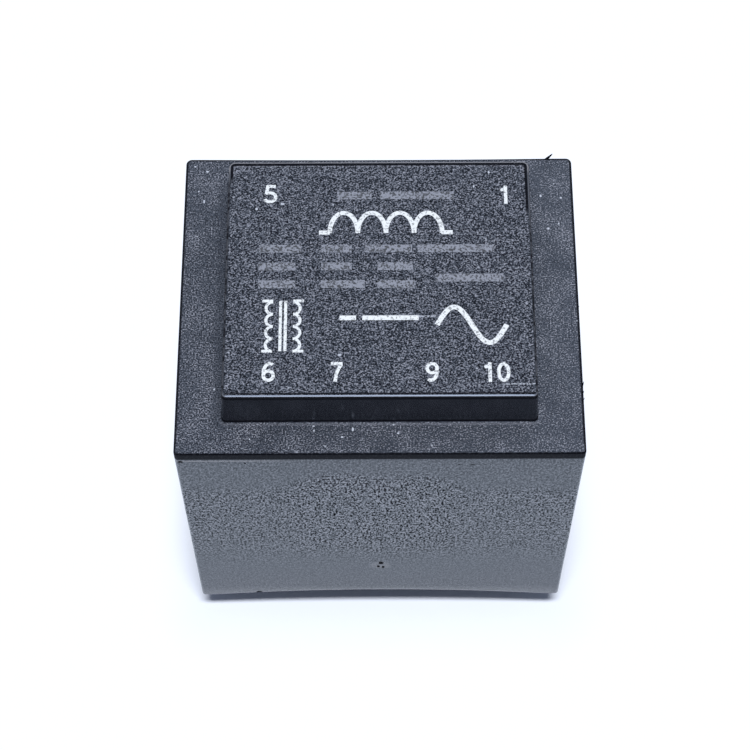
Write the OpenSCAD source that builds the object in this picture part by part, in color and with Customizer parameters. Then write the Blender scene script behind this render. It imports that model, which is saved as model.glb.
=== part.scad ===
// Potted printed-circuit-board transformer: an interleaved E-I core and a two-chamber coil,
// cast in resin inside a moulded cup that stands open end down on its solder pins.
// Millimetres, +Z up, front towards -Y. The origin is the middle of the pin pattern
// on the seating plane, which is the surface of the board that the case rests on.

/* [Core] */
// Width of the centre leg of a lamination
leg_w = 10; // [8:0.5:12]
// Width of each window beside the centre leg
window_w = 5; // [4.6:0.1:6]
// Length of the windows, front to back
window_l = 15; // [14.5:0.1:17]
// Width of the outer legs and of both yokes
yoke_w = 5; // [5:0.1:6]
// Number of layers in the stack
sheets = 46; // [30:2:60]
// Height that one layer takes up
sheet_pitch = 0.5; // [0.35:0.05:0.6]
// Varnish gap between two layers
sheet_gap = 0.02; // [0.01:0.01:0.04]
// Cut between an E sheet and the I sheet that closes it
butt_gap = 0.02; // [0.01:0.01:0.05]

/* [Bobbin] */
// Play between the centre leg and the bobbin's tube
tube_clear = 0.1; // [0.05:0.05:0.2]
// Wall of the bobbin's tube
tube_wall = 0.7; // [0.5:0.05:0.9]
// Thickness of the end flanges and of the middle flange
flange_t = 0.8; // [0.6:0.05:1]
// Play between an end flange and a yoke
flange_play = 0.15; // [0.1:0.05:0.3]
// Play between a flange and an outer leg
flange_side_play = 0.2; // [0.1:0.05:0.4]
// How far the flanges stand over the taped coil, above and below
flange_lip = 0.15; // [0.1:0.05:0.4]
// How far a rail reaches past its pins, outwards and endways
rail_margin = 1.8; // [1.4:0.1:2]
// Play between a rail and the core above it
rail_play = 0.2; // [0.1:0.05:0.4]
// Corner radius of the flanges
flange_r = 0.8; // [0.3:0.1:1]

/* [Windings] */
// Space left in the window between the taped coil and the outer leg
coil_play = 0.85; // [0.7:0.05:1.2]
// Thickness of one wrap of insulating tape
tape_t = 0.15; // [0.1:0.05:0.25]
// Diameter of the leads that run from the windings to the pins
lead_d = 0.3; // [0.2:0.02:0.36]
// Depth at which a lead lies inside the face of its winding
lead_sink = 0.05; // [0.03:0.01:0.1]
// Distance from the side of a winding in to its outermost leads
lead_inset = 0.8; // [0.6:0.1:1.2]
// Room round a lead in the slots and channels of the bobbin
lead_room = 0.25; // [0.15:0.05:0.3]
// Corner radius of the windings
coil_r = 1; // [0.5:0.1:1.5]

/* [Pins] */
// Distance between neighbouring pin places in a row
pin_pitch = 5; // [4.6:0.1:5.2]
// Distance between the two rows of pins
row_spacing = 20; // [19.6:0.1:20.4]
// Diameter of a pin
pin_d = 0.8; // [0.6:0.05:1]
// Length of a pin below the seating plane
pin_reach = 4; // [2.5:0.1:6]
// Tin put on a pin after potting, from the resin down
pin_tin = 0.03; // [0.01:0.01:0.05]
// Length of a pin held in the rail
pin_grip = 2.5; // [1.5:0.1:2.8]
// Length of the taper at a pin's tip
pin_taper = 0.4; // [0.2:0.05:0.8]
// Diameter of the flat at the very end of a pin
pin_tip_d = 0.45; // [0.3:0.05:0.5]
// Solder round the wire wrap, beyond the wrap
solder_skin = 0.1; // [0.06:0.02:0.2]

/* [Case] */
// Wall of the case at its sides
case_wall = 1.1; // [0.8:0.05:1.5]
// Resin between the core and the case at the sides
core_room = 0.15; // [0.1:0.05:0.5]
// Resin above the core, under the shoulder of the case
core_head = 0.2; // [0.1:0.05:0.6]
// Thickness of the shoulder
shoulder_t = 1.1; // [0.8:0.05:1.6]
// Resin above the coil, under the raised top
coil_head = 0.1; // [0.1:0.05:0.5]
// Thickness of the raised top
top_t = 0.9; // [0.7:0.05:1.5]
// Wall of the raised top at its foot
top_wall = 1; // [0.8:0.05:1.3]
// Resin between the coil and the raised top, left and right
top_room_x = 1.7; // [1:0.1:2.2]
// Resin between the coil and the raised top, front and back
top_room_y = 2.55; // [1.5:0.05:2.8]
// Draft of the raised top on each side, over its whole height
top_draft = 0.2; // [0.05:0.05:0.25]
// Rounding of the outer upright corners
corner_r = 0.55; // [0.4:0.05:1]
// Rounding of the edge round the shoulder
shoulder_r = 0.2; // [0.1:0.05:0.6]
// Rounding of the edge round the raised top
top_r = 0.15; // [0.05:0.05:0.4]
// Radius of the corners inside the case
inner_r = 0.4; // [0.2:0.05:0.45]

/* [Underside] */
// Rise of the shallow arch in the front and back walls' lower edges
arch_rise = 1.15; // [0.5:0.05:1.8]
// Resin level above the crown of the arch
resin_step = 0.35; // [0.2:0.05:0.8]
// Resin under the coil
coil_cover = 0.3; // [0.2:0.05:0.8]
// Least resin under the solder joints
solder_cover = 0.25; // [0.15:0.05:0.3]

/* [Hidden] */
$fn = 48;
// Pin places are numbered 1 to 5 along the back and 6 to 10 along the front
row_places = 5;                // in each of the two rows
mid_place = (row_places + 1) / 2;
pin_places = [1 : 2 * row_places];
primary_pins = [1, 5];
inner_secondary_pins = [6, 7];
outer_secondary_pins = [9, 10];
fitted_pins = concat(primary_pins, inner_secondary_pins, outer_secondary_pins);
empty_places = [for (k = pin_places) if (len(search(k, fitted_pins)) == 0) k];

eps = 0.01;
past = 1;            // how far a cutter runs past the face it opens

// Core
core_w = leg_w + 2 * window_w + 2 * yoke_w;
core_d = window_l + 2 * yoke_w;
stack_h = sheets * sheet_pitch;

// Coil, measured from the centre leg outwards
tube_out = tube_clear + tube_wall;
coil_out = window_w - coil_play;             // to the outside of the tape
wind_out = coil_out - tape_t;
half_build = (wind_out - tube_out - tape_t) / 2;
wind_a_out = tube_out + half_build;
flange_rise = coil_out + flange_lip;
flange_w = leg_w + 2 * (window_w - flange_side_play);
flange_h = stack_h + 2 * flange_rise;
bobbin_l = window_l - 2 * flange_play;
chamber_l = (bobbin_l - 3 * flange_t) / 2;
chamber_y = (flange_t + chamber_l) / 2;      // middle of a chamber

// Heights above the seating plane
resin_z = arch_rise + resin_step;
flange_z = resin_z + coil_cover;
stack_z = flange_z + flange_rise;
stack_top = stack_z + stack_h;
coil_mid = stack_z + stack_h / 2;
shoulder_in = stack_top + core_head;
shoulder_z = shoulder_in + shoulder_t;
top_in = flange_z + flange_h + coil_head;
top_z = top_in + top_t;

// Leads and rails
lead_r = lead_d / 2;
bend_r = lead_r * 1.1;       // of a bend, and of the turn round a pin
lead_z = stack_z - wind_out + lead_sink + lead_r;
lead_a_z = stack_z - wind_a_out + lead_sink + lead_r;
rail_z = lead_z + lead_r + lead_room;
rail_top = stack_z - rail_play;
rail_y = row_spacing / 2 + rail_margin;
rail_w = (row_places - 1) * pin_pitch + 2 * rail_margin;
channel_y = bobbin_l / 2 + lead_r + lead_room;
channel_w = lead_d + 2 * lead_room;

// Pins and solder
pin_r = pin_d / 2;
root_r = pin_r - pin_tin;    // of a pin inside the resin, where it has no tin
wrap_gap = 0.03;     // solder between a pin and the wire round it
wrap_r = root_r + wrap_gap + bend_r;
solder_z = resin_z + solder_cover;
solder_top_r = wrap_r + bend_r + 2 * solder_skin;
solder_low_r = root_r + 2 * solder_skin;

// Case
case_in_w = core_w + 2 * core_room;
case_in_d = core_d + 2 * core_room;
case_w = case_in_w + 2 * case_wall;
case_d = case_in_d + 2 * case_wall;
top_in_w = flange_w + 2 * top_room_x;
top_in_d = bobbin_l + 2 * top_room_y;
top_w = top_in_w + 2 * top_wall;
top_d = top_in_d + 2 * top_wall;
arch_r = (pow(case_in_w / 2, 2) + pow(arch_rise, 2)) / (2 * arch_rise);

// Where pin k stands
function in_front(k) = k > row_places;
function pin_x(k) =
    (in_front(k) ? k - row_places - mid_place : mid_place - k) * pin_pitch;
function pin_y(k) = (in_front(k) ? -1 : 1) * row_spacing / 2;
// The leads of the inner secondary lie deeper in the coil
function is_inner(k) = len(search(k, inner_secondary_pins)) > 0;
function lead_height(k) = is_inner(k) ? lead_a_z : lead_z;
// Where the lead of pin k leaves its winding
function lead_x(k) =
    sign(pin_x(k)) * min(abs(pin_x(k)), leg_w / 2 + (is_inner(k) ? wind_a_out : wind_out) - lead_inset);

// ---- outlines ----

// Rectangle with round corners, centred
module rounded_rect(w, h, r) {
    square([w - 2 * r, h], center = true);
    square([w, h - 2 * r], center = true);
    for (sx = [-1, 1], sy = [-1, 1])
        translate([sx * (w / 2 - r), sy * (h / 2 - r)]) circle(r);
}

// Upright outline that narrows by draft on each side and ends in a rounded top
module domed_outline(w, h, draft, r) {
    a = atan(draft / h);
    cx = w / 2 - ((h - r) * sin(a) + r) / cos(a);
    side_x = cx + r * cos(a);
    side_y = h - r + r * sin(a);
    polygon([[-w / 2, 0], [w / 2, 0], [side_x, side_y], [cx, h],
             [-cx, h], [-side_x, side_y]]);
    for (s = [-1, 1]) translate([s * cx, h - r]) circle(r);
}

// Block with rounded upright corners and a rounded edge round its top
module domed_block(w, d, h, draft, side_r, edge_r) {
    intersection() {
        rotate([90, 0, 0]) linear_extrude(d + 2, center = true) domed_outline(w, h, draft, edge_r);
        rotate([90, 0, 90]) linear_extrude(w + 2, center = true) domed_outline(d, h, draft, edge_r);
        union() {
            translate([0, 0, h / 2]) cube([w - 2 * side_r, d + 1, h], center = true);
            translate([0, 0, h / 2]) cube([w + 1, d - 2 * side_r, h], center = true);
            for (sx = [-1, 1], sy = [-1, 1])
                translate([sx * (w / 2 - side_r), sy * (d / 2 - side_r), 0])
                    cylinder(h = h, r1 = side_r, r2 = side_r - draft);
        }
    }
}

// Prism on an upright outline, lying along Y and centred at y
module along_y(l, y = 0) {
    translate([0, y, coil_mid]) rotate([90, 0, 0]) linear_extrude(l, center = true) children();
}

// Outline at a distance outside the centre leg
module coil_outline(out) {
    rounded_rect(leg_w + 2 * out, stack_h + 2 * out, min(coil_r, out / 2));
}

// Ring round the centre leg, from one distance outside it to another
module coil_ring(from, to, l, y) {
    along_y(l, y) difference() {
        coil_outline(to);
        coil_outline(from);
    }
}

// Straight round rod between two points
module rod(p, q, r) {
    v = q - p;
    l = norm(v);
    if (l > eps) translate(p) rotate([0, acos(v[2] / l), atan2(v[1], v[0])]) cylinder(h = l, r = r);
}

// ---- core ----

// One E sheet with its back towards -Y
module e_sheet() {
    y0 = -core_d / 2;
    leg_end = core_d / 2 - yoke_w - butt_gap;
    linear_extrude(sheet_pitch - sheet_gap) difference() {
        translate([-core_w / 2, y0]) square([core_w, leg_end - y0]);
        for (s = [-1, 1])
            translate([s * (leg_w + window_w) / 2, y0 + yoke_w + window_l / 2 + past / 2])
                square([window_w, window_l + past], center = true);
    }
}

// One I sheet closing the windows of an E sheet
module i_sheet() {
    translate([-core_w / 2, core_d / 2 - yoke_w, 0])
        cube([core_w, yoke_w, sheet_pitch - sheet_gap]);
}

// Every second layer of the stack is turned front to back
module interleaved() {
    for (i = [0 : sheets - 1])
        translate([0, 0, stack_z + i * sheet_pitch + sheet_gap / 2])
            mirror([0, i % 2, 0]) children();
}

module e_laminations() { color("#7d8188") interleaved() e_sheet(); }

module i_laminations() { color("#8f939a") interleaved() i_sheet(); }

// ---- bobbin ----

module flange(y) {
    along_y(flange_t, y) rounded_rect(flange_w, flange_h, flange_r);
}

// Rail under a yoke, with blind pin holes at the given places
module rail(front, places) {
    y_in = bobbin_l / 2 - flange_t / 2;
    difference() {
        translate([-rail_w / 2, front ? -rail_y : y_in, rail_z])
            cube([rail_w, rail_y - y_in, rail_top - rail_z]);
        for (k = places) if (in_front(k) == front)
            translate([pin_x(k), pin_y(k), rail_z - past]) cylinder(h = past + pin_grip, r = root_r);
    }
}

// Slot in an end flange and channel in its rail for the lead of pin k
module lead_cut(k) {
    s = sign(pin_y(k));
    y_in = bobbin_l / 2 - flange_t - past / 2;
    y_out = channel_y + channel_w / 2;
    translate([lead_x(k) - channel_w / 2, s > 0 ? y_in : -y_out, flange_z - past])
        cube([channel_w, y_out - y_in, lead_height(k) + lead_r + lead_room - flange_z + past]);
}

module bobbin() {
    color("#d9d3bd") difference() {
        union() {
            along_y(bobbin_l) coil_outline(tube_out);
            for (y = [-1, 0, 1]) flange(y * (bobbin_l - flange_t) / 2);
            for (front = [true, false]) rail(front, pin_places);
        }
        along_y(bobbin_l + past) square([leg_w + 2 * tube_clear, stack_h + 2 * tube_clear], center = true);
        for (k = fitted_pins) lead_cut(k);
    }
}

// ---- windings ----

// Lead of pin k: out of the winding, down its channel and under the rail to the pin
module lead_run(k) {
    s = sign(pin_y(k));
    x = lead_x(k);
    z = lead_height(k);
    start = [x, s * (chamber_y + chamber_l / 4), z];
    corner = [x, s * channel_y, z];
    foot = [x, s * channel_y, lead_z];
    end = [pin_x(k), pin_y(k) - s * wrap_r, lead_z];
    rod(start, corner, lead_r);
    rod(corner, foot, lead_r);
    rod(foot, end, lead_r);
    for (p = [corner, foot]) if (p == foot || z > lead_z)
        translate(p) rotate([0, 90, 0]) sphere(bend_r);      // its poles lie clear of the rods
}

// The same lead with its turn round the pin
module lead(k) {
    lead_run(k);
    translate([pin_x(k), pin_y(k), lead_z]) rotate_extrude() translate([wrap_r, 0]) circle(bend_r);
}

module winding(from, to, y, pins) {
    coil_ring(from, to, chamber_l, y);
    for (k = pins) lead(k);
}

module primary_winding() { color("#b5652b") winding(tube_out, wind_out, chamber_y, primary_pins); }

module primary_tape() { color("#e3c84a") coil_ring(wind_out, coil_out, chamber_l, chamber_y); }

module secondary_winding_a() {
    color("#c0762f") winding(tube_out, wind_a_out, -chamber_y, inner_secondary_pins);
}

module interlayer_tape() {
    color("#e3c84a") coil_ring(wind_a_out, wind_a_out + tape_t, chamber_l, -chamber_y);
}

module secondary_winding_b() {
    color("#b5652b") winding(wind_a_out + tape_t, wind_out, -chamber_y, outer_secondary_pins);
}

module secondary_tape() {
    color("#e3c84a") coil_ring(wind_out, coil_out, chamber_l, -chamber_y);
}

// ---- pins ----

module terminal_pin(k) {
    color("#c9ccd0") translate([pin_x(k), pin_y(k), 0]) rotate_extrude()
        polygon([[0, -pin_reach], [pin_tip_d / 2, -pin_reach], [pin_r, -pin_reach + pin_taper],
                 [pin_r, resin_z], [root_r, resin_z], [root_r, rail_z + pin_grip],
                 [0, rail_z + pin_grip]]);
}

module solder_cone(k) {
    translate([pin_x(k), pin_y(k), solder_z])
        cylinder(h = rail_z - solder_z, r1 = solder_low_r, r2 = solder_top_r);
}

module solder_joint(k) {
    color("#b9bcc0") difference() {
        solder_cone(k);
        translate([pin_x(k), pin_y(k), solder_z - past]) cylinder(h = rail_z - solder_z + 2 * past, r = root_r);
        lead(k);
    }
}

// ---- case and resin ----

// Space inside the case, filled from the given height
module case_space(z) {
    translate([0, 0, z]) linear_extrude(shoulder_in - z) rounded_rect(case_in_w, case_in_d, inner_r);
    translate([0, 0, shoulder_in - past])
        linear_extrude(top_in - shoulder_in + past) rounded_rect(top_in_w, top_in_d, inner_r);
}

module case() {
    color("#23252b") difference() {
        union() {
            domed_block(case_w, case_d, shoulder_z, 0, corner_r, shoulder_r);
            translate([0, 0, shoulder_z - shoulder_t / 2])
                domed_block(top_w, top_d, top_z - shoulder_z + shoulder_t / 2, top_draft, corner_r, top_r);
        }
        case_space(-past);
        intersection() {
            translate([0, 0, arch_rise - arch_r]) rotate([90, 0, 0])
                cylinder(h = case_d + 2 * past, r = arch_r, center = true);
            cube([case_in_w, case_d + 2 * past, 4 * arch_rise], center = true);
        }
    }
}

module potting_compound() {
    color("#2c2d30") difference() {
        difference() {
            case_space(resin_z);
            translate([-core_w / 2, -core_d / 2, stack_z]) cube([core_w, core_d, stack_h]);
            along_y(bobbin_l) rounded_rect(flange_w, flange_h, flange_r);
            for (front = [true, false]) rail(front, empty_places);
            for (k = fitted_pins) lead_run(k);
        }
        for (k = fitted_pins) {
            solder_cone(k);
            translate([pin_x(k), pin_y(k), resin_z - past])
                cylinder(h = (solder_z + rail_z) / 2 - resin_z + past, r = root_r);
        }
    }
}

case();
potting_compound();
e_laminations();
i_laminations();
bobbin();
primary_winding();
primary_tape();
secondary_winding_a();
interlayer_tape();
secondary_winding_b();
secondary_tape();
for (k = fitted_pins) {
    terminal_pin(k);
    solder_joint(k);
}
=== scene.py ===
import math

import bpy
from mathutils import Matrix, Vector, noise


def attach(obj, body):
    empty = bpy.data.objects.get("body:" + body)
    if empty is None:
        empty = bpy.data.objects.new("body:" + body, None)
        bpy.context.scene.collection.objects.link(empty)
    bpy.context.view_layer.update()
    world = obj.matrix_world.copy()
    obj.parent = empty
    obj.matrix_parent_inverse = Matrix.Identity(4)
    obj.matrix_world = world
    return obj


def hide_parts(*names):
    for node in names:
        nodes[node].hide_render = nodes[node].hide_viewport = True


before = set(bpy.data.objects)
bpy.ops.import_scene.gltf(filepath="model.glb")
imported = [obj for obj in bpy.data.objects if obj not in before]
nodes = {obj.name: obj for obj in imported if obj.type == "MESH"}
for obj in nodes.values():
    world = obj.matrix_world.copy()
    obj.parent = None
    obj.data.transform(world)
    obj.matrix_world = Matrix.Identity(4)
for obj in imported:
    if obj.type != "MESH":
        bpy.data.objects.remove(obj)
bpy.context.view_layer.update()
mm = 0.001

camera = {
    "place": (-0.1041, -83.1559, 179.7532),   # mm
    "down": 62.917,      # degrees below the horizon
    "turn": -0.1963,
    "roll": -0.3782,
    "lens": 100.6, "sensor": 36,   # mm
    "sees": (0.01, 20),  # nearest and farthest, m
}


def addCamera(c):
    down, turn, roll = (math.radians(c[k]) for k in ("down", "turn", "roll"))
    ahead = Vector((math.sin(turn) * math.cos(down), math.cos(turn) * math.cos(down), -math.sin(down)))
    right = Vector((math.cos(turn), -math.sin(turn), 0))
    up = right.cross(ahead)
    across = right * math.cos(roll) + up * math.sin(roll)
    upward = up * math.cos(roll) - right * math.sin(roll)
    data = bpy.data.cameras.new("camera")
    data.lens = c["lens"]
    data.sensor_width = c["sensor"]
    data.clip_start, data.clip_end = c["sees"]
    eye = bpy.data.objects.new("camera", data)
    turned = Matrix((across, upward, -ahead)).transposed().to_4x4()
    eye.matrix_world = Matrix.Translation(Vector(c["place"]) * mm) @ turned
    bpy.context.scene.collection.objects.link(eye)
    bpy.context.scene.camera = eye


addCamera(camera)
print("camera placed")


# an output socket that takes part in plain sums
class Value:
    def __init__(self, paint, socket):
        self.paint, self.socket = paint, socket

    def sum(self, operation, *terms):
        return self.paint.add("ShaderNodeMath", {"operation": operation}, dict(enumerate(terms)))

    def __add__(self, other):
        return self.sum("ADD", self, other)

    def __sub__(self, other):
        return self.sum("SUBTRACT", self, other)

    def __rsub__(self, other):
        return self.sum("SUBTRACT", other, self)

    def __mul__(self, other):
        return self.sum("MULTIPLY", self, other)

    def __pow__(self, other):
        return self.sum("POWER", self, other)

    def __abs__(self):
        return self.sum("ABSOLUTE", self)

    __radd__ = __add__
    __rmul__ = __mul__

    def most(self, other):
        return self.sum("MAXIMUM", self, other)

    def least(self, other):
        return self.sum("MINIMUM", self, other)


# the nodes of one material, or of the world
class Paint:
    def __init__(self, name, world=None):
        self.owner = world or bpy.data.materials.new(name)
        self.owner.use_nodes = True
        self.tree = self.owner.node_tree
        self.shader = self.tree.nodes.get("Principled BSDF")
        self.output = next(n for n in self.tree.nodes if n.bl_idname.startswith("ShaderNodeOutput"))

    # a node of any kind: its settings first, then its sockets
    def add(self, kind, settings=None, inputs=None, out=0):
        node = self.tree.nodes.new(kind)
        for name, setting in (settings or {}).items():
            setattr(node, name, setting)
        for name, value in (inputs or {}).items():
            self.fill(node.inputs[name], value)
        return Value(self, node.outputs[out])

    def fill(self, socket, value):
        if isinstance(value, Value):
            self.tree.links.new(value.socket, socket)
        else:
            socket.default_value = value

    def set(self, **values):
        for name, value in values.items():
            self.fill(self.shader.inputs[name.replace("_", " ")], value)
        return self.owner

    # the first shader where the share is 0, the second where it is 1
    def surface(self, share, first, second):
        both = self.add("ShaderNodeMixShader", None, {0: share, 1: first, 2: second})
        self.fill(self.output.inputs["Surface"], both)

    # another shader over a share of the plain one
    def cover(self, share, other):
        self.surface(share, Value(self, self.shader.outputs[0]), other)

    # place on the part in millimetres, stretched where asked
    def place(self, stretch=(1, 1, 1)):
        where = self.add("ShaderNodeTexCoord", out="Object")
        return self.add("ShaderNodeMapping", {"vector_type": "POINT"},
                        {"Vector": where, "Scale": [s / mm for s in stretch]})

    # every output of a node, given one of them
    def outputs(self, value):
        return [Value(self, socket) for socket in value.socket.node.outputs]

    def axes(self, vector):
        return self.outputs(self.add("ShaderNodeSeparateXYZ", None, {0: vector}))

    def facing(self):
        return self.axes(self.add("ShaderNodeTexCoord", out="Normal"))

    def noise(self, place, scale, detail=2.0, rough=0.5, twist=0.0):
        sockets = {"Vector": place, "Scale": scale, "Detail": detail, "Roughness": rough, "Distortion": twist}
        return self.add("ShaderNodeTexNoise", {"noise_dimensions": "3D"}, sockets)

    def cells(self, place, scale):
        return self.add("ShaderNodeTexVoronoi", {"feature": "F1"}, {"Vector": place, "Scale": scale})

    # 0 below low, 1 above high, smooth between
    def step(self, value, low, high):
        return self.add("ShaderNodeMapRange", {"interpolation_type": "SMOOTHSTEP"},
                        {"Value": value, "From Min": low, "From Max": high})

    def mix(self, share, first, second):
        return self.add("ShaderNodeMix", {"data_type": "RGBA"}, {0: share, 6: first, 7: second}, out=2)

    # 1 for the rays that see the plain white: of the camera, of gloss and through glass
    def seen(self):
        rays = {value.socket.name: value for value in self.outputs(self.add("ShaderNodeLightPath"))}
        return rays["Is Camera Ray"].most(rays["Is Glossy Ray"]).most(rays["Is Transmission Ray"])

    # relief whose height is in millimetres
    def bump(self, height):
        return self.add("ShaderNodeBump", None, {"Height": height, "Distance": mm, "Strength": 1.0})


# a colour for a socket, a share of it where asked
def rgb(r, g, b, share=1.0):
    return (r * share, g * share, b * share, 1.0)


# sizes of the case in mm, and its colours
case = {
    "colour": (0.012, 0.0125, 0.015),
    "shadow": (0.004, 0.004, 0.006),   # painted shade in pits, hollows and dark lines, and the dark marks
    "speck": (0.30, 0.294, 0.312),     # painted glints of bright grains and crests, and painted light lines
    "sheenAndPale": (0.26, 0.24, 0.23),      # painted highlight on the raised top's rim and on light lines of the front wall, and the paler ring round the gate
    "dust": (0.55, 0.56, 0.58),
    "tint": (0.735, 0.83, 1.0),        # of the gloss
    "ior": 1.66,
    "grain": 7.6, "wallGrain": 5.9,    # in each mm
    "otherWalls": 0.45,                # share of the front wall's grain
    "width": 32.5, "depth": 27.5, "hollowBack": 0.08, "shoulder": 30.4,
    "topWidth": 25.0, "topDepth": 21.98, "topBack": 0.085, "topCorner": 0.35, "topDraft": 0.2,
    "top": 34.385, "printRoom": 0.015, # what the print may take above the top
    "wall": 1.1, "roof": 0.9, "topWall": 1.0, "shoulderRoof": 1.1,
    "corner": 0.3, "rounder": 0.18,    # of the upright corners, and what the back ones have more
    "foot": 0.08, "inner": 0.4,        # radii round the raised part and in the hollow
    "shoulderEdge": (0.02, 20, 0.15),  # sloping land, its slope in degrees, radius below it
    "topEdge": (0.15, 20, 0.06),
    "archRise": 1.15, "lip": 0.14,
    "sideSteps": 60, "cornerSteps": 7, "edgeSteps": 6, "lipSteps": 4, "footSteps": 3,
    "endShare": 0.0175,                # of each side, taken by its first and last step
    "levels": (2.2, 4, 8, 12, 16, 20, 24, 28),   # rings of the walls
    "edgeGap": 0.3,                    # from the last of them up to the shoulder
    "sunkShare": 2.2,                  # how much narrower than the wall its sunk middle is
    "waver": 0.012,                    # unevenness of the edges, mm
    # fine scratches on the top: from x, to x, y, slope
    "scratches": ((1.6, 4.5, -3.6, -0.01), (9.7, 12.2, -9.66, 0.02)),
    # dust: x, y, half width, half depth
    "topDust": ((-7.84, 6.82, 0.17, 0.09), (-9.94, 6.36, 0.10, 0.12), (-3.13, -7.05, 0.13, 0.09),
                (7.74, 8.45, 0.07, 0.12), (9.0, 9.79, 0.08, 0.12)),
    "shoulderDust": ((-2.13, -11.6, 0.08, 0.17), (-2.98, -12.27, 0.10, 0.08),
                     (-5.24, -11.31, 0.09, 0.06), (-5.20, -11.72, 0.08, 0.06),
                     (1.09, -11.2, 0.08, 0.06), (1.45, -11.95, 0.10, 0.07),
                     (-10.27, -12.44, 0.06, 0.06), (-13.2, -8.01, 0.07, 0.08),
                     (-15.47, 13.0, 0.09, 0.07), (-14.43, 12.5, 0.10, 0.09),
                     (-14.61, 9.55, 0.07, 0.16), (-15.09, 10.55, 0.07, 0.06),
                     (13.53, 10.0, 0.09, 0.12), (15.21, 9.8, 0.10, 0.08),
                     (14.05, 6.81, 0.10, 0.10), (14.94, 7.27, 0.06, 0.09)),
    # dark marks on the front wall, the first three left by the gate: x, z, half width, half height
    "marks": ((0.08, 7.62, 0.22, 0.30), (-0.16, 6.82, 0.13, 0.22), (0.27, 6.68, 0.13, 0.24),
              (-11.0, 0.72, 0.26, 0.22), (-10.69, 28.75, 0.07, 0.12), (-15.8, 29.05, 0.2, 0.16),
              (6.3, 28.36, 0.09, 0.09), (7.4, 28.33, 0.17, 0.08)),
    "gate": (0.06, 7.05, 0.85, 0.75),  # the paler ring round those three
}


room = {
    "light": (0.94, 1.0, 1.12),     # a cool white
    "dimLight": (0.74, 0.88, 1.28),
    "seenWhite": (1.0, 1.06, 1.19),
    "glossWhite": (0.93, 1.04, 1.21),   # the same white as the gloss shows it
    "lampDistance": 1.2,
    "lampSize": (0.40, 0.14),
    "lampAside": 0.02,
    "lampTilt": 12.5,               # towards the viewer, from straight overhead
    "lampPower": 15.0,
    "ambient": 0.17,
    "floor": (0.95, 0.95, 0.95),
    "floorZ": -4.0,                 # the pins stand on it
    "floorSize": 3.0,
    "cardY": -0.042,                # dark card before the part, seen only in its gloss
    "cardSize": (0.4, 0.11), "cardColour": (0.01, 0.01, 0.012),
    # mm from the case, where the floor turns plain white, and how far in that begins at the sides
    "whiteFrom": 0.0, "whiteAt": 5.6, "whiteInside": 0.5,
}


# points are in mm, and edges sharper than the angle stay sharp
def meshObject(name, points, faces, material, smooth=30):
    mesh = bpy.data.meshes.new(name)
    mesh.from_pydata([[c * mm for c in p] for p in points], [], faces)
    mesh.validate()
    mesh.update()
    mesh.shade_smooth()
    mesh.set_sharp_from_angle(angle=math.radians(smooth))
    mesh.materials.append(material)
    piece = bpy.data.objects.new(name, mesh)
    bpy.context.scene.collection.objects.link(piece)
    return piece


def whiteSeen(paint, r):
    glossy = paint.add("ShaderNodeLightPath", out="Is Glossy Ray")
    return paint.mix(glossy, rgb(*r["seenWhite"]), rgb(*r["glossWhite"]))


def addRoom(r):
    paint = Paint("floor_white")
    paint.set(Base_Color=rgb(*r["floor"]), Roughness=0.9)
    x, y, z = paint.axes(paint.place())
    beside = (abs(x) - case["width"] / 2 + r["whiteInside"]).most(0.0)
    before = (abs(y) - case["depth"] / 2).most(0.0)
    away = (beside * beside + before * before) ** 0.5
    white = paint.add("ShaderNodeEmission", None, {"Color": whiteSeen(paint, r), "Strength": 1.0})
    paint.cover(paint.step(away, r["whiteFrom"], r["whiteAt"]) * paint.seen(), white)
    half = r["floorSize"] / 2 / mm
    around = ((-half, -half), (half, -half), (half, half), (-half, half))
    floor = meshObject("floor", [(u, v, r["floorZ"]) for u, v in around], [(0, 1, 2, 3)], paint.owner)

    paint = Paint("card_black")
    paint.set(Base_Color=rgb(*r["cardColour"]), Roughness=0.8)
    half, high = r["cardSize"][0] / 2 / mm, r["cardSize"][1] / mm
    low = r["floorZ"] + 0.1
    around = ((-half, low), (half, low), (half, high), (-half, high))
    card = meshObject("card", [(u, r["cardY"] / mm, v) for u, v in around], [(0, 1, 2, 3)], paint.owner)
    card.visible_camera = card.visible_diffuse = card.visible_shadow = False

    lamp = bpy.data.lights.new("overhead", "AREA")
    lamp.shape = "ELLIPSE"
    lamp.size, lamp.size_y = r["lampSize"]
    lamp.energy = r["lampPower"]
    lamp.color = r["light"]
    overhead = bpy.data.objects.new("overhead", lamp)
    tilt = math.radians(r["lampTilt"])
    away = r["lampDistance"]
    overhead.location = (r["lampAside"], -math.sin(tilt) * away, math.cos(tilt) * away)
    overhead.rotation_euler = (-tilt, 0, 0)
    bpy.context.scene.collection.objects.link(overhead)

    world = bpy.data.worlds.new("room")
    bpy.context.scene.world = world
    paint = Paint("room", world)
    paint.tree.nodes.remove(paint.tree.nodes["Background"])
    dim = paint.add("ShaderNodeBackground", None, {"Color": rgb(*r["dimLight"]), "Strength": r["ambient"]})
    white = paint.add("ShaderNodeBackground", None, {"Color": whiteSeen(paint, r), "Strength": 1.0})
    paint.surface(paint.seen(), dim, white)


addRoom(room)
bpy.context.scene.view_settings.view_transform = "Standard"
print("room lit")


# a point of a corner's arc, so many degrees past its start
def onCorner(corner, past):
    cx, cy, start, radius = corner
    a = math.radians(start + past)
    return (cx + radius * math.cos(a), cy + radius * math.sin(a))


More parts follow.
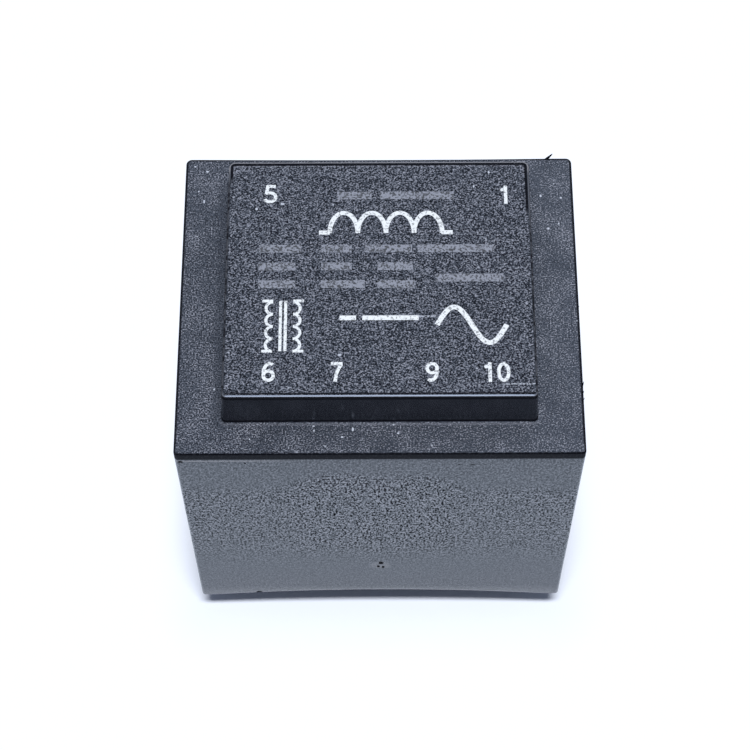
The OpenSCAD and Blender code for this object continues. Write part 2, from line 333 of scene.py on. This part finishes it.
# points of a rounded rectangle, the same number for every size; back is the radius at its back
def ringPoints(width, depth, radius, back, sideSteps, cornerSteps, end):
    w, d = width / 2, depth / 2
    between = [end + (1 - 2 * end) * i / (sideSteps - 2) for i in range(1, sideSteps - 2)]
    places = [0.0, end] + between + [1 - end]
    points = []
    corners = [(w - back, d - back, 0, back), (back - w, d - back, 90, back),
               (radius - w, radius - d, 180, radius), (w - radius, radius - d, 270, radius)]
    for i, corner in enumerate(corners):
        points += [onCorner(corner, 90 * s / cornerSteps) for s in range(cornerSteps)]
        x0, y0 = onCorner(corner, 90)
        x1, y1 = onCorner(corners[(i + 1) % 4], 0)
        points += [(x0 + (x1 - x0) * t, y0 + (y1 - y0) * t) for t in places]
    return points


# rise of the arched lower edge, which only the front and back walls have
def archHeight(x, y, c):
    halfSpan = c["width"] / 2 - c["wall"]
    if abs(x) >= halfSpan or abs(y) < c["depth"] / 2 - c["wall"] - 0.01:
        return 0.0
    radius = (halfSpan ** 2 + c["archRise"] ** 2) / (2 * c["archRise"])
    return c["archRise"] - radius + math.sqrt(radius ** 2 - x ** 2)


# rings of an edge from the wall in to the flat above: a small radius, then a sloping land
def edgeRings(width, depth, corner, z, edge, steps):
    land, slope, radius = edge[0], math.radians(edge[1]), edge[2]
    centre = z - land * math.sin(slope) - radius * math.cos(slope)
    places = []
    for i in range(steps + 1):
        a = math.pi / 2 - (math.pi / 2 - slope) * i / steps
        places.append((radius * (1 - math.sin(a)), centre + radius * math.cos(a)))
    inset, level = places[-1]
    for share in (0.8, 1.0, 1.2):      # loops on either side of the land's end
        along = min(share, 1.0) * land
        places.append((inset + share * land * math.cos(slope), level + along * math.sin(slope)))
    leastCorner = 0.1
    return [(width - 2 * s, depth - 2 * s, max(corner - s, leastCorner), "worn", high) for s, high in places]


def addCase(c, material):
    w, d = c["width"], c["depth"]
    shoulder, top = c["shoulder"], c["top"]
    rings = []      # width, depth, corner radius, kind and height of each
    for i in range(c["lipSteps"] + 1):      # rounded lower edge
        a = math.pi / 2 * i / c["lipSteps"]
        inset = c["lip"] * (1 - math.sin(a))
        rings.append((w - 2 * inset, d - 2 * inset, c["corner"] - inset, "arch", c["lip"] * (1 - math.cos(a))))
    rings += [(w, d, c["corner"], "flat", z) for z in (*c["levels"], shoulder - c["edgeGap"])]
    rings += edgeRings(w, d, c["corner"], shoulder, c["shoulderEdge"], c["edgeSteps"])
    bodyRings = len(rings)
    tw, td, foot = c["topWidth"], c["topDepth"], c["foot"]
    ahead = 2 * foot + 0.1      # a loop on the shoulder just before the foot of the raised part
    rings.append((tw + ahead, td + ahead, c["topCorner"] + foot, "flat", shoulder))
    for i in range(c["footSteps"] + 1):
        a = math.pi / 2 * i / c["footSteps"]
        out = 2 * foot * (1 - math.sin(a))
        rings.append((tw + out, td + out, c["topCorner"] + out / 2, "flat", shoulder + foot * (1 - math.cos(a))))
    lean = 2 * c["topDraft"]
    for share in (0.4, 0.94):
        level = shoulder + (top - shoulder) * share
        rings.append((tw - lean * share, td - lean * share, c["topCorner"], "flat", level))
    rings += edgeRings(tw - lean, td - lean, c["topCorner"], top, c["topEdge"], c["edgeSteps"])
    within = lean + 1.6         # the flat inside the last loop is one face
    rings.append((tw - within, td - within, 0.25, "flat", top))

    # the hollow inside, from its roof down to the open side
    innerTop = (tw - 2 * c["topWall"], td - 2 * c["topWall"], c["inner"])
    innerWall = (w - 2 * c["wall"], d - 2 * c["wall"], c["inner"])
    ceiling = shoulder - c["shoulderRoof"]
    hollow = [(*innerTop, "flat", top + c["printRoom"] - c["roof"]), (*innerTop, "flat", ceiling),
              (*innerWall, "flat", ceiling), (*innerWall, "flat", c["levels"][0]), (*innerWall, "arch", 0.05),
              (innerWall[0] + 0.1, innerWall[1] + 0.1, c["inner"] + 0.05, "arch", 0.0)]

    points = []
    outer, total = len(rings), len(rings) + len(hollow)
    for number, (rw, rd, rr, kind, z) in enumerate(rings + hollow):
        ring = ringPoints(rw, rd, rr, rr + c["rounder"], c["sideSteps"], c["cornerSteps"], c["endShare"])
        if number < bodyRings:      # the back wall has sunk a little in its middle
            ring = [(x, y - c["hollowBack"] * max(1 - (c["sunkShare"] * x / w) ** 2, 0) * (y / d + 0.5))
                    for x, y in ring]
        elif number < outer:
            ring = [(x, y + c["topBack"]) for x, y in ring]
        for x, y in ring:
            height = z
            if kind == "arch":
                height += archHeight(x, y, c)
            elif kind == "worn":
                height -= abs(noise.noise(Vector((x * 0.8, y * 0.8, z)))) * c["waver"]
            points.append((x, y, height))

    count = len(points) // total        # points of one ring
    faces = []
    for k in range(total):
        if k == outer - 1:      # the top closes the outside, so nothing joins it to the hollow
            continue
        a, b = k * count, ((k + 1) % total) * count
        for i in range(count):
            j = (i + 1) % count
            faces.append((a + i, a + j, b + j, b + i))
    faces.append(tuple(range((outer - 1) * count, outer * count)))
    faces.append(tuple(reversed(range(outer * count, (outer + 1) * count))))
    piece = meshObject("moulded_case", points, faces, material, 35)
    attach(piece, "root")
    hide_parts("case")


# how far inside a rounded rectangle, in mm
def inside(x, y, width, depth, radius):
    overX, overY = abs(x) - (width / 2 - radius), abs(y) - (depth / 2 - radius)
    roundX, roundY = overX.most(0.0), overY.most(0.0)
    return radius - (roundX * roundX + roundY * roundY) ** 0.5 - overX.most(overY).least(0.0)


# small spots, each an ellipse given by its middle and half sizes
def spots(paint, u, v, places, soft=0.3):
    found = None
    for middleU, middleV, halfU, halfV in places:
        du, dv = (u - middleU) * (1 / halfU), (v - middleV) * (1 / halfV)
        spot = paint.step(du * du + dv * dv, 1 + soft, 1 - soft)
        found = spot if found is None else found.most(spot)
    return found


# strengths of what the plastic shows, from 0 to 1, and levels in mm; most are painted shade and painted highlights
plastic = {
    "hollows": {"top": 0.9, "shoulder": 0.3, "moreAtLeft": 0.35},
    "pits": {"all": 0.22, "high": 0.14, "band": 0.48, "crown": 0.26},
    "band": {"level": 22.2, "crown": 2.6, "waver": 2.4},    # upper end of the pitted band
    "glint": 0.9, "lightLine": 29.15, "lineHalf": 0.13,
    "rimShade": 0.95, "rimLight": 0.5, "underRim": 0.8, "strip": 0.88, "aboveBand": 0.1, "belowBand": 0.06,
    "footLine": 0.9, "footLight": 0.25, "besideFoot": 0.12,
    "holes": 0.9, "marks": 0.95, "halo": 0.35, "scratches": 0.7, "fineDust": 0.6,
    "rough": 0.2, "roughUp": 0.34, "roughCrests": 0.15, "roughRim": 0.21,
    "relief": 0.12, "wallRelief": 0.04, "markDepth": 0.1,   # mm
}


def casePlastic(c, p):
    paint = Paint("moulded_black")
    place = paint.place()
    x, y, z = paint.axes(place)
    up = paint.step(paint.facing()[2], 0.95, 0.995)
    raised = paint.step(z, 32.0, 33.0)
    onTop, onShoulder, wall = up * raised, up * (1 - raised), 1 - up
    belowShoulder = paint.step(z, 31, 30)
    rimHeight = paint.step(z, 34.1, 34.3)
    lean = 2 * c["topDraft"]
    topY = y - c["topBack"]
    rounder = paint.step(y, -5, 5) * c["rounder"]
    topCorner = rounder + c["topCorner"]
    fromRim = inside(x, topY, c["topWidth"] - lean, c["topDepth"] - lean, topCorner)
    fromFoot = inside(x, topY, c["topWidth"], c["topDepth"], topCorner)
    fromSide = inside(x, y, c["width"], c["depth"], rounder + c["corner"])

    # spark-eroded grain of the upward faces, coarser and patchy on the shoulder, with painted shade in its hollows
    # and painted glints on its bright grains
    fine = paint.noise(paint.place((1, 1.2, 1)), c["grain"], 1.0, 0.6)
    grain = fine * (onTop * 0.12 + 0.88) + paint.noise(place, c["grain"] / 3, 1.0) * (1 - onTop) * 0.12
    patchy = paint.noise(place, 0.4, 2.0)
    atLeft = paint.step(x, 13.0, -13.0)
    share = p["hollows"]
    depth = onTop * share["top"] + onShoulder * (atLeft * share["moreAtLeft"] + share["shoulder"])
    hollows = paint.step(grain, 0.53, 0.37) * depth
    bright = paint.step(grain, 0.50, 0.72) * onTop
    bright = bright.most(paint.step(grain + patchy * 0.2, 0.60, 0.80) * onShoulder)

    # pitted band on the walls, over a faint texture: painted shade in its pits and holes, painted glints on its
    # crests
    tall = paint.place((1, 1, 0.6))
    broad = paint.noise(place, 0.25, 2.0)
    front = paint.step(y, -13.4, -13.6)
    crown = paint.step(abs(x + 0.6), 8.5, 4.5) * front
    upper = crown * p["band"]["crown"] + broad * p["band"]["waver"] + p["band"]["level"]
    band = paint.step(z - upper, 1.4, -1.4) * paint.step(z + broad * 3, 8.0, 15.0)
    texture = paint.noise(tall, c["wallGrain"], 1.0, 0.6)
    share = p["pits"]
    strength = band * (crown * share["crown"] + share["band"]) + paint.step(z, 10, 20) * share["high"]
    strength = (strength + share["all"]) * wall * belowShoulder
    strength = strength * (front * (1 - c["otherWalls"]) + c["otherWalls"])
    pits = paint.step(texture, 0.48, 0.37) * strength
    crests = paint.step(texture, 0.52, 0.65) * strength
    holes = paint.step(paint.cells(tall, 1.5), 0.20, 0.12) * paint.step(paint.noise(place, 0.6, 1.0), 0.5, 0.6)
    holes = holes * band * crown * wall

    # marks of the mould and handling on the front wall
    marks = spots(paint, x, z, c["marks"], 0.35) * front
    halo = spots(paint, x, z, [c["gate"]], 0.6) * front
    # painted highlight along the lower edge, and a painted light line under the dark strip at the left
    lowest = (1 - (x * x) * (1 / (c["width"] / 2 - c["wall"]) ** 2)).most(0.0) * c["archRise"]
    glint = paint.step(abs(z - lowest - c["lip"]), p["lineHalf"], 0.05) * paint.step(abs(x), 16, 12)
    atLine = paint.step(abs(z - p["lightLine"]), p["lineHalf"], 0.05) * paint.step(x, -5.0, -11.0)
    glint = glint.most(atLine) * front * p["glint"]

    # painted shade: a dark line inside the rim of the raised top, whole at its ends, thin and broken along its
    # sides, and a dark edge just under the rim; a painted light line inside its back rim
    ends = paint.step(topY + paint.step(x, -1, 1) * 3, 8.2, 9.4).most(paint.step(topY, -10.35, -10.5))
    rimShadeFrom = paint.step(y, -9.5, -10.3) * 0.05 + 0.14
    rimShade = paint.step(fromRim - rimShadeFrom, 0.0, 0.05) * paint.step(fromRim, 0.42, 0.34) * ends
    rimShade = rimShade * paint.step(z, 33, 34)
    broken = paint.step(paint.noise(place, 2.2, 1.0), 0.38, 0.6) * 0.6 + 0.35
    sideRimShade = paint.step(fromRim, 0.18, 0.12) * (1 - ends) * broken * paint.step(z, 34.15, 34.3)
    rimShade = rimShade.most(sideRimShade) * p["rimShade"]
    rimLight = paint.step(abs(fromRim - 0.46), 0.09, 0.03) * paint.step(y, 9.0, 10.0) * onTop * p["rimLight"]
    underRim = paint.step(fromRim, 0.055, 0.02) * paint.step(z, 33.8, 34.0) * p["underRim"]

    # painted shade: a dark strip round the shoulder's edge, the wall darker below it and towards the bottom, a dark
    # line round the foot of the raised part and a darker patch beside it at the left; a painted light line before
    # its foot
    strip = paint.step(fromSide - paint.step(y, -13.3, -12.6) * 0.06, 0.2, 0.1)
    strip = strip * paint.step(z, 29.3, 29.5) * p["strip"]
    shaded = (paint.step(z, 28.4, 29.4) * p["aboveBand"]).most(paint.step(z, 22, 8) * p["belowBand"])
    shaded = shaded * belowShoulder * wall
    footLine = paint.step(fromFoot, -0.10, -0.03) * paint.step(z, 30.85, 30.5) * p["footLine"]
    besideFoot = paint.step(fromFoot, -1.2, -0.5) * paint.step(x, -12.0, -12.4) * onShoulder
    footLight = paint.step(abs(fromFoot + 0.24), 0.14, 0.08) * paint.step(y, -10.8, -11.0)
    footLight = footLight * onShoulder * p["footLight"]

    scratches = None
    for x0, x1, y0, slope in c["scratches"]:
        along = paint.step(x, x0 - 0.1, x0 + 0.1) * paint.step(x, x1 + 0.1, x1 - 0.1)
        line = along * paint.step(abs(y - y0 - (x - x0) * slope), 0.09, 0.03) * onTop
        scratches = line if scratches is None else scratches.most(line)
    fineDust = paint.step(paint.cells(place, 1.1), 0.12, 0.06) * paint.step(patchy, 0.5, 0.6)
    dust = spots(paint, x, y, c["topDust"]) * onTop
    dust = dust.most(spots(paint, x, y, c["shoulderDust"]) * onShoulder).most(fineDust * up * p["fineDust"])
    # painted highlight on the raised top's rim, strongest at its back
    sheenAndPale = paint.step(fromRim, 0.15, 0.08) * rimHeight * (paint.step(y, 9.6, 10.2) * 0.75 + 0.25)

    light = (bright * (1 - besideFoot * 0.6)).most(crests).most(rimLight).most(footLight)
    shade = paint.mix(paint.step(broad, 0.3, 0.7), rgb(*c["colour"]), rgb(*c["colour"], 1.2))
    shade = paint.mix(light, shade, rgb(*c["speck"]))
    shade = paint.mix(sheenAndPale.most(halo * p["halo"]).most(glint), shade, rgb(*c["sheenAndPale"]))
    shade = paint.mix(dust.most(scratches * p["scratches"]), shade, rgb(*c["dust"]))
    # painted shade: a dull dark cover over hollows, pits, holes, marks and the dark lines, kept off the dust
    dark = hollows.most(pits).most(holes * p["holes"]).most(marks * p["marks"]).most(rimShade)
    dark = dark.most(underRim).most(strip).most(shaded).most(footLine).most(besideFoot * p["besideFoot"])
    shadeCover = paint.add("ShaderNodeBsdfDiffuse", None, {"Color": rgb(*c["shadow"])})
    paint.cover(dark * (1 - dust), shadeCover)
    rim = paint.step(fromRim, 0.3, 0.24) * rimHeight * wall
    rough = up * p["roughUp"] + p["rough"] + crests * p["roughCrests"] + rim * p["roughRim"]
    height = grain * up * p["relief"] + texture * strength * p["wallRelief"] - marks * p["markDepth"]
    return paint.set(Base_Color=shade, Roughness=rough, Normal=paint.bump(height),
                     IOR=c["ior"], Specular_Tint=rgb(*c["tint"]))


blackPlastic = casePlastic(case, plastic)
addCase(case, blackPlastic)
print("case moulded")

# white print on the raised top, in mm
ink = {
    "colour": (0.845, 0.845, 0.80),
    "faded": (0.25, 0.255, 0.28),
    "z": 34.384, "thick": 0.014, "sunk": 0.01,    # how far its edges reach below z
    "digitHeight": 1.72, "digitStroke": 0.275,
    "digitWidth": 0.62, "digitGap": 0.03,         # shares of the height
    "humpStroke": 0.38, "waveStroke": 0.42, "barStroke": 0.42, "coilStroke": 0.24, "rowStroke": 0.72,
}


def arcPoints(cx, cy, rx, ry, start, end, steps):
    angles = [math.radians(start + (end - start) * i / steps) for i in range(steps + 1)]
    return [(cx + rx * math.cos(a), cy + ry * math.sin(a)) for a in angles]


# centre lines of the digits in a cell one high
digits = {
    "0": [arcPoints(0.31, 0.5, 0.225, 0.42, 0, 360, 40)],
    "1": [[(0.34, 0.0), (0.34, 1.0)], [(0.36, 0.90), (0.27, 0.81), (0.10, 0.74)]],
    "5": [[(0.16, 0.92), (0.57, 0.92)], [(0.205, 0.97), (0.14, 0.50)],
          arcPoints(0.31, 0.315, 0.27, 0.245, 135, -155, 28)],
    "6": [arcPoints(0.31, 0.31, 0.225, 0.235, 0, 360, 32), arcPoints(0.37, 0.44, 0.28, 0.48, 182, 62, 20)],
    "7": [[(0.05, 0.92), (0.58, 0.92)], [(0.535, 0.90), (0.40, 0.66), (0.30, 0.38), (0.245, 0.0)]],
    "9": [arcPoints(0.31, 0.69, 0.225, 0.235, 0, 360, 32), arcPoints(0.25, 0.56, 0.28, 0.48, 2, -118, 20)],
}


# flat ribbons along centre lines, each a hair above the last so that none share a face
def ribbons(lines, stroke, points, faces, z, thick):
    layers, layerStep = 6, 0.0006
    for number, line in enumerate(lines):
        level = z + thick - layerStep * (number % layers)
        low = z - ink["sunk"]
        closed = math.dist(line[0], line[-1]) < 1e-6
        path = line[:-1] if closed else line
        n = len(path)
        base = len(points)
        for i, (px, py) in enumerate(path):
            before = path[i - 1] if closed or i else path[0]
            after = path[(i + 1) % n] if closed or i < n - 1 else path[-1]
            t = Vector((after[0] - before[0], after[1] - before[1])).normalized()
            side = Vector((-t.y, t.x)) * stroke / 2
            for s, h in ((1, low), (1, level), (-1, level), (-1, low)):
                points.append((px + side.x * s, py + side.y * s, h))
        for i in range(n if closed else n - 1):
            a, b = base + 4 * i, base + 4 * ((i + 1) % n)
            for k in range(3):
                faces.append((a + k, b + k, b + k + 1, a + k + 1))
        if not closed:
            faces.append((base, base + 1, base + 2, base + 3))
            end = base + 4 * (n - 1)
            faces.append((end + 3, end + 2, end + 1, end))


def digitLines(text, cx, cy, height):
    lines = []
    step = ink["digitWidth"] + ink["digitGap"]
    left = cx - height * (step * (len(text) - 1) + ink["digitWidth"]) / 2
    for i, sign in enumerate(text):
        x0 = left + i * step * height
        lines += [[(x0 + u * height, cy + (v - 0.5) * height) for u, v in line] for line in digits[sign]]
    return lines


# the more wear, the more of the ink is rubbed thin
def inkPaint(name, colour, wear):
    paint = Paint(name)
    place = paint.place()
    grain = paint.noise(place, 6.0, 2.0, 0.6)
    worn = paint.step(grain, 0.66 - wear * 0.2, 0.8 - wear * 0.2) * wear
    shade = paint.mix(worn, rgb(*colour), rgb(*colour, 0.12))
    normal = paint.bump(grain * 0.03)
    return paint.set(Base_Color=shade, Roughness=grain * 0.2 + 0.5, Normal=normal)


def addPrint(name, groups, material):
    points, faces = [], []
    for lines, stroke in groups:
        ribbons(lines, stroke, points, faces, ink["z"], ink["thick"])
    piece = meshObject(name, points, faces, material, 40)
    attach(piece, "root")


def bar(x0, x1, y):
    return [(x0, y), (x1, y)]


whiteInk = inkPaint("print_white", ink["colour"], 0.75)
fadedInk = inkPaint("print_faded", ink["faded"], 1.0)

# number, and the middle of its place
numbers = (("5", -8.87, 7.78), ("1", 10.27, 7.64), ("6", -8.68, -8.52), ("7", -3.36, -8.54), ("9", 4.10, -8.57),
           ("10", 9.12, -8.60))
numberLines = []
for text, cx, cy in numbers:
    numberLines += digitLines(text, cx, cy, ink["digitHeight"])
addPrint("pin_numbers", [(numberLines, ink["digitStroke"])], whiteInk)

# a plain coil sign: four humps between two straight ends
humps = [bar(-4.85, -3.98, 4.1), bar(5.03, 5.95, 4.1)]
humps += [arcPoints(-2.85 + 2.27 * i, 4.05, 1.135, 1.9, 180, 0, 20) for i in range(4)]
# two coils and the core between them
coreX, coilEnds = -7.62, (-2.2, -6.7)
coils = []
for side in (-1, 1):
    middle = coreX + side * 0.8
    coils += [bar(middle, middle + side * 0.85, y) for y in coilEnds]
    coils += [arcPoints(middle, -2.85 - 1.1 * i, side * 0.55, 0.55, 90, -90, 12) for i in range(4)]
core = [[(coreX + s * 0.2, y) for y in coilEnds] for s in (-1, 1)]
# one wave of an alternating current
waveSteps = 40
turns = [i / waveSteps for i in range(waveSteps + 1)]
wave = [(4.55 + 5.5 * turn, -4.4 + 1.6 * math.sin(2 * math.pi * turn)) for turn in turns]
bars = [bar(-3.15, -1.85, -3.75), bar(-1.35, 3.1, -3.75)]
addPrint("print_marks", [(humps, ink["humpStroke"]), ([wave], ink["waveStroke"]),
                         (coils + core, ink["coilStroke"]), (bars, ink["barStroke"])], whiteInk)

# rows of plain bars in place of small print
rows = [bar(-3.4, -0.6, 7.6), bar(0.1, 6.1, 7.6),
        bar(-9.65, -6.25, 2.6), bar(-4.65, -2.2, 2.6), bar(-1.1, 2.65, 2.6), bar(3.1, 9.25, 2.6),
        bar(-9.65, -6.7, 0.95), bar(-4.65, -2.2, 0.95), bar(-0.15, 2.7, 0.95), bar(4.55, 9.9, -0.12),
        bar(-9.65, -6.7, -0.68), bar(-4.65, -1.15, -0.68), bar(-0.15, 2.85, -0.68)]
addPrint("print_rows", [(rows, ink["rowStroke"])], fadedInk)
print("print laid")

# thin burrs left by the mould
flash = {
    "places": [   # foot x, y, z and tip x, y, z, width, all in mm
        ((14.12, 13.66, 30.3), (14.62, 13.72, 31.1), 0.34),
        ((16.12, -0.6, 30.2), (16.24, -0.7, 30.65), 0.16),
        ((16.14, -8.0, 30.1), (16.24, -7.8, 31.15), 0.34),
        ((16.14, -8.45, 30.1), (16.24, -8.55, 30.9), 0.22),
        ((16.14, -9.1, 30.1), (16.24, -9.2, 31.0), 0.16),
    ],
    "thick": 0.04, "steps": 5,
    "beside": 16,        # x beyond which a burr stands on the right side
    "keepIn": 0.005,     # from the part's own box
}


def addFlash(f, material):
    points, faces = [], []
    for foot, tip, width in f["places"]:
        foot, tip = Vector(foot), Vector(tip)
        side, thin = Vector((1, 0, 0)), Vector((0, 1, 0))
        if foot.x > f["beside"]:
            side, thin = thin, side
        base, steps = len(points), f["steps"]
        for i in range(steps + 1):
            t = i / steps
            middle = foot.lerp(tip, t)
            half = side * width / 2 * (1 - t) ** 0.6 + side * 0.01
            for s, q in ((1, 1), (1, -1), (-1, -1), (-1, 1)):
                points.append(tuple(middle + half * s + thin * f["thick"] / 2 * q * (1 - 0.6 * t)))
        for i in range(steps):
            a, b = base + 4 * i, base + 4 * (i + 1)
            for k in range(4):
                faces.append((a + k, a + (k + 1) % 4, b + (k + 1) % 4, b + k))
        faces.append((base + 3, base + 2, base + 1, base))
        end = base + 4 * steps
        faces.append((end, end + 1, end + 2, end + 3))
    right, back = case["width"] / 2 - f["keepIn"], case["depth"] / 2 - f["keepIn"]
    points = [(min(x, right), min(y, back), z) for x, y, z in points]
    piece = meshObject("mould_flash", points, faces, material)
    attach(piece, "root")


addFlash(flash, blackPlastic)
print("flash added")


# another finish for solids that keep their shape
def dress(names, material):
    for name in names:
        mesh = nodes[name].data
        mesh.materials.clear()
        mesh.materials.append(material)


resin = {"colour": (0.020, 0.020, 0.022), "speck": (0.01, 0.01, 0.01), "waves": 0.12}


def resinPaint(r):
    paint = Paint("cast_resin")
    place = paint.place()
    waves = paint.noise(place, r["waves"], 2.0, 0.45)
    specks = paint.step(paint.cells(place, 0.55), 0.10, 0.05) * paint.step(paint.noise(place, 0.3, 1.0), 0.45, 0.6)
    film = paint.noise(place, 1.3, 4.0, 0.6)
    shade = paint.mix(film, rgb(*r["colour"]), rgb(*r["colour"], 1.9))
    shade = paint.mix(specks * 0.5, shade, rgb(*r["speck"]))
    normal = paint.bump(waves * 0.5 - specks * 0.08 + film * 0.006)
    return paint.set(Base_Color=shade, Roughness=film * 0.16 + 0.12, Normal=normal, IOR=1.55)


metal = {
    "tin": (0.62, 0.63, 0.65), "solder": (0.5, 0.51, 0.53),
    "steel": (0.32, 0.33, 0.35), "rolledSteel": (0.20, 0.205, 0.23), "rust": (0.22, 0.12, 0.07),
}


def tinPaint(m):
    paint = Paint("tinned_wire")
    drawn = paint.noise(paint.place((6, 6, 0.5)), 2.0, 3.0, 0.6)
    cloud = paint.noise(paint.place(), 1.6, 3.0)
    shade = paint.mix(paint.step(cloud, 0.35, 0.7), rgb(*m["tin"]), rgb(*m["tin"], 0.72))
    normal = paint.bump(drawn * 0.01 + cloud * 0.005)
    return paint.set(Base_Color=shade, Metallic=1.0, Roughness=drawn * 0.25 + 0.2, Normal=normal)


def solderPaint(m):
    paint = Paint("soft_solder")
    cloud = paint.noise(paint.place(), 3.0, 4.0, 0.6)
    shade = paint.mix(cloud, rgb(*m["solder"]), rgb(*m["solder"], 0.65))
    return paint.set(Base_Color=shade, Metallic=1.0, Roughness=cloud * 0.3 + 0.15, Normal=paint.bump(cloud * 0.03))


def steelPaint(m):
    paint = Paint("core_sheet")
    rolled = paint.noise(paint.place((3, 1, 0.2)), 1.5, 4.0, 0.65)
    edge = paint.noise(paint.place((0.3, 8, 0.3)), 2.0, 2.0)
    shade = paint.mix(paint.step(rolled, 0.35, 0.7), rgb(*m["steel"]), rgb(*m["rolledSteel"]))
    shade = paint.mix(paint.step(edge, 0.62, 0.74) * 0.5, shade, rgb(*m["rust"]))
    return paint.set(Base_Color=shade, Metallic=0.9, Roughness=rolled * 0.3 + 0.3, Normal=paint.bump(rolled * 0.01))


coil = {
    "copper": (0.60, 0.23, 0.08), "enamel": (0.42, 0.13, 0.04), "wirePitch": 0.16,
    "nylon": (0.60, 0.56, 0.44),
    "tape": (0.72, 0.52, 0.07), "tapeFold": (0.50, 0.30, 0.05),
}


def copperPaint(c):
    paint = Paint("enamelled_wire")
    y = paint.axes(paint.place())[1]
    drift = paint.noise(paint.place((0.4, 1, 0.4)), 0.9, 2.0)
    turns = (y + drift * 0.12) * (2 * math.pi / c["wirePitch"])
    ridge = turns.sum("SINE", turns) * 0.5 + 0.5
    # copper darker in the grooves between turns: painted shade, over the enamel's own tone
    shade = paint.mix(paint.step(ridge, 0.0, 0.5), rgb(*c["copper"], 0.3), rgb(*c["copper"]))
    shade = paint.mix(drift * 0.5, shade, rgb(*c["enamel"]))
    return paint.set(Base_Color=shade, Metallic=0.85, Roughness=drift * 0.15 + 0.2, Normal=paint.bump(ridge * 0.04))


def nylonPaint(c):
    paint = Paint("bobbin_nylon")
    cloud = paint.noise(paint.place(), 0.5, 3.0)
    fibre = paint.noise(paint.place((1, 6, 1)), 1.6, 3.0, 0.6)
    shade = paint.mix(cloud, rgb(*c["nylon"]), rgb(*c["nylon"], 0.82))
    return paint.set(Base_Color=shade, Roughness=fibre * 0.2 + 0.35, Normal=paint.bump(fibre * 0.01))


def tapePaint(c):
    paint = Paint("coil_tape")
    wrap = paint.noise(paint.place((1, 0.3, 1)), 1.2, 3.0, 0.5, 0.3)
    shade = paint.mix(paint.step(wrap, 0.3, 0.75), rgb(*c["tape"]), rgb(*c["tapeFold"]))
    return paint.set(Base_Color=shade, Roughness=wrap * 0.2 + 0.15, Normal=paint.bump(wrap * 0.04))


pinPlaces = (1, 5, 6, 7, 9, 10)
dress(["potting_compound"], resinPaint(resin))
dress([f"pin_{k}" for k in pinPlaces], tinPaint(metal))
dress([f"solder_{k}" for k in pinPlaces], solderPaint(metal))
dress(["e_laminations", "i_laminations"], steelPaint(metal))
dress(["primary_winding", "secondary_winding_a", "secondary_winding_b"], copperPaint(coil))
dress(["bobbin"], nylonPaint(coil))
dress(["primary_tape", "interlayer_tape", "secondary_tape"], tapePaint(coil))
print("solids dressed")
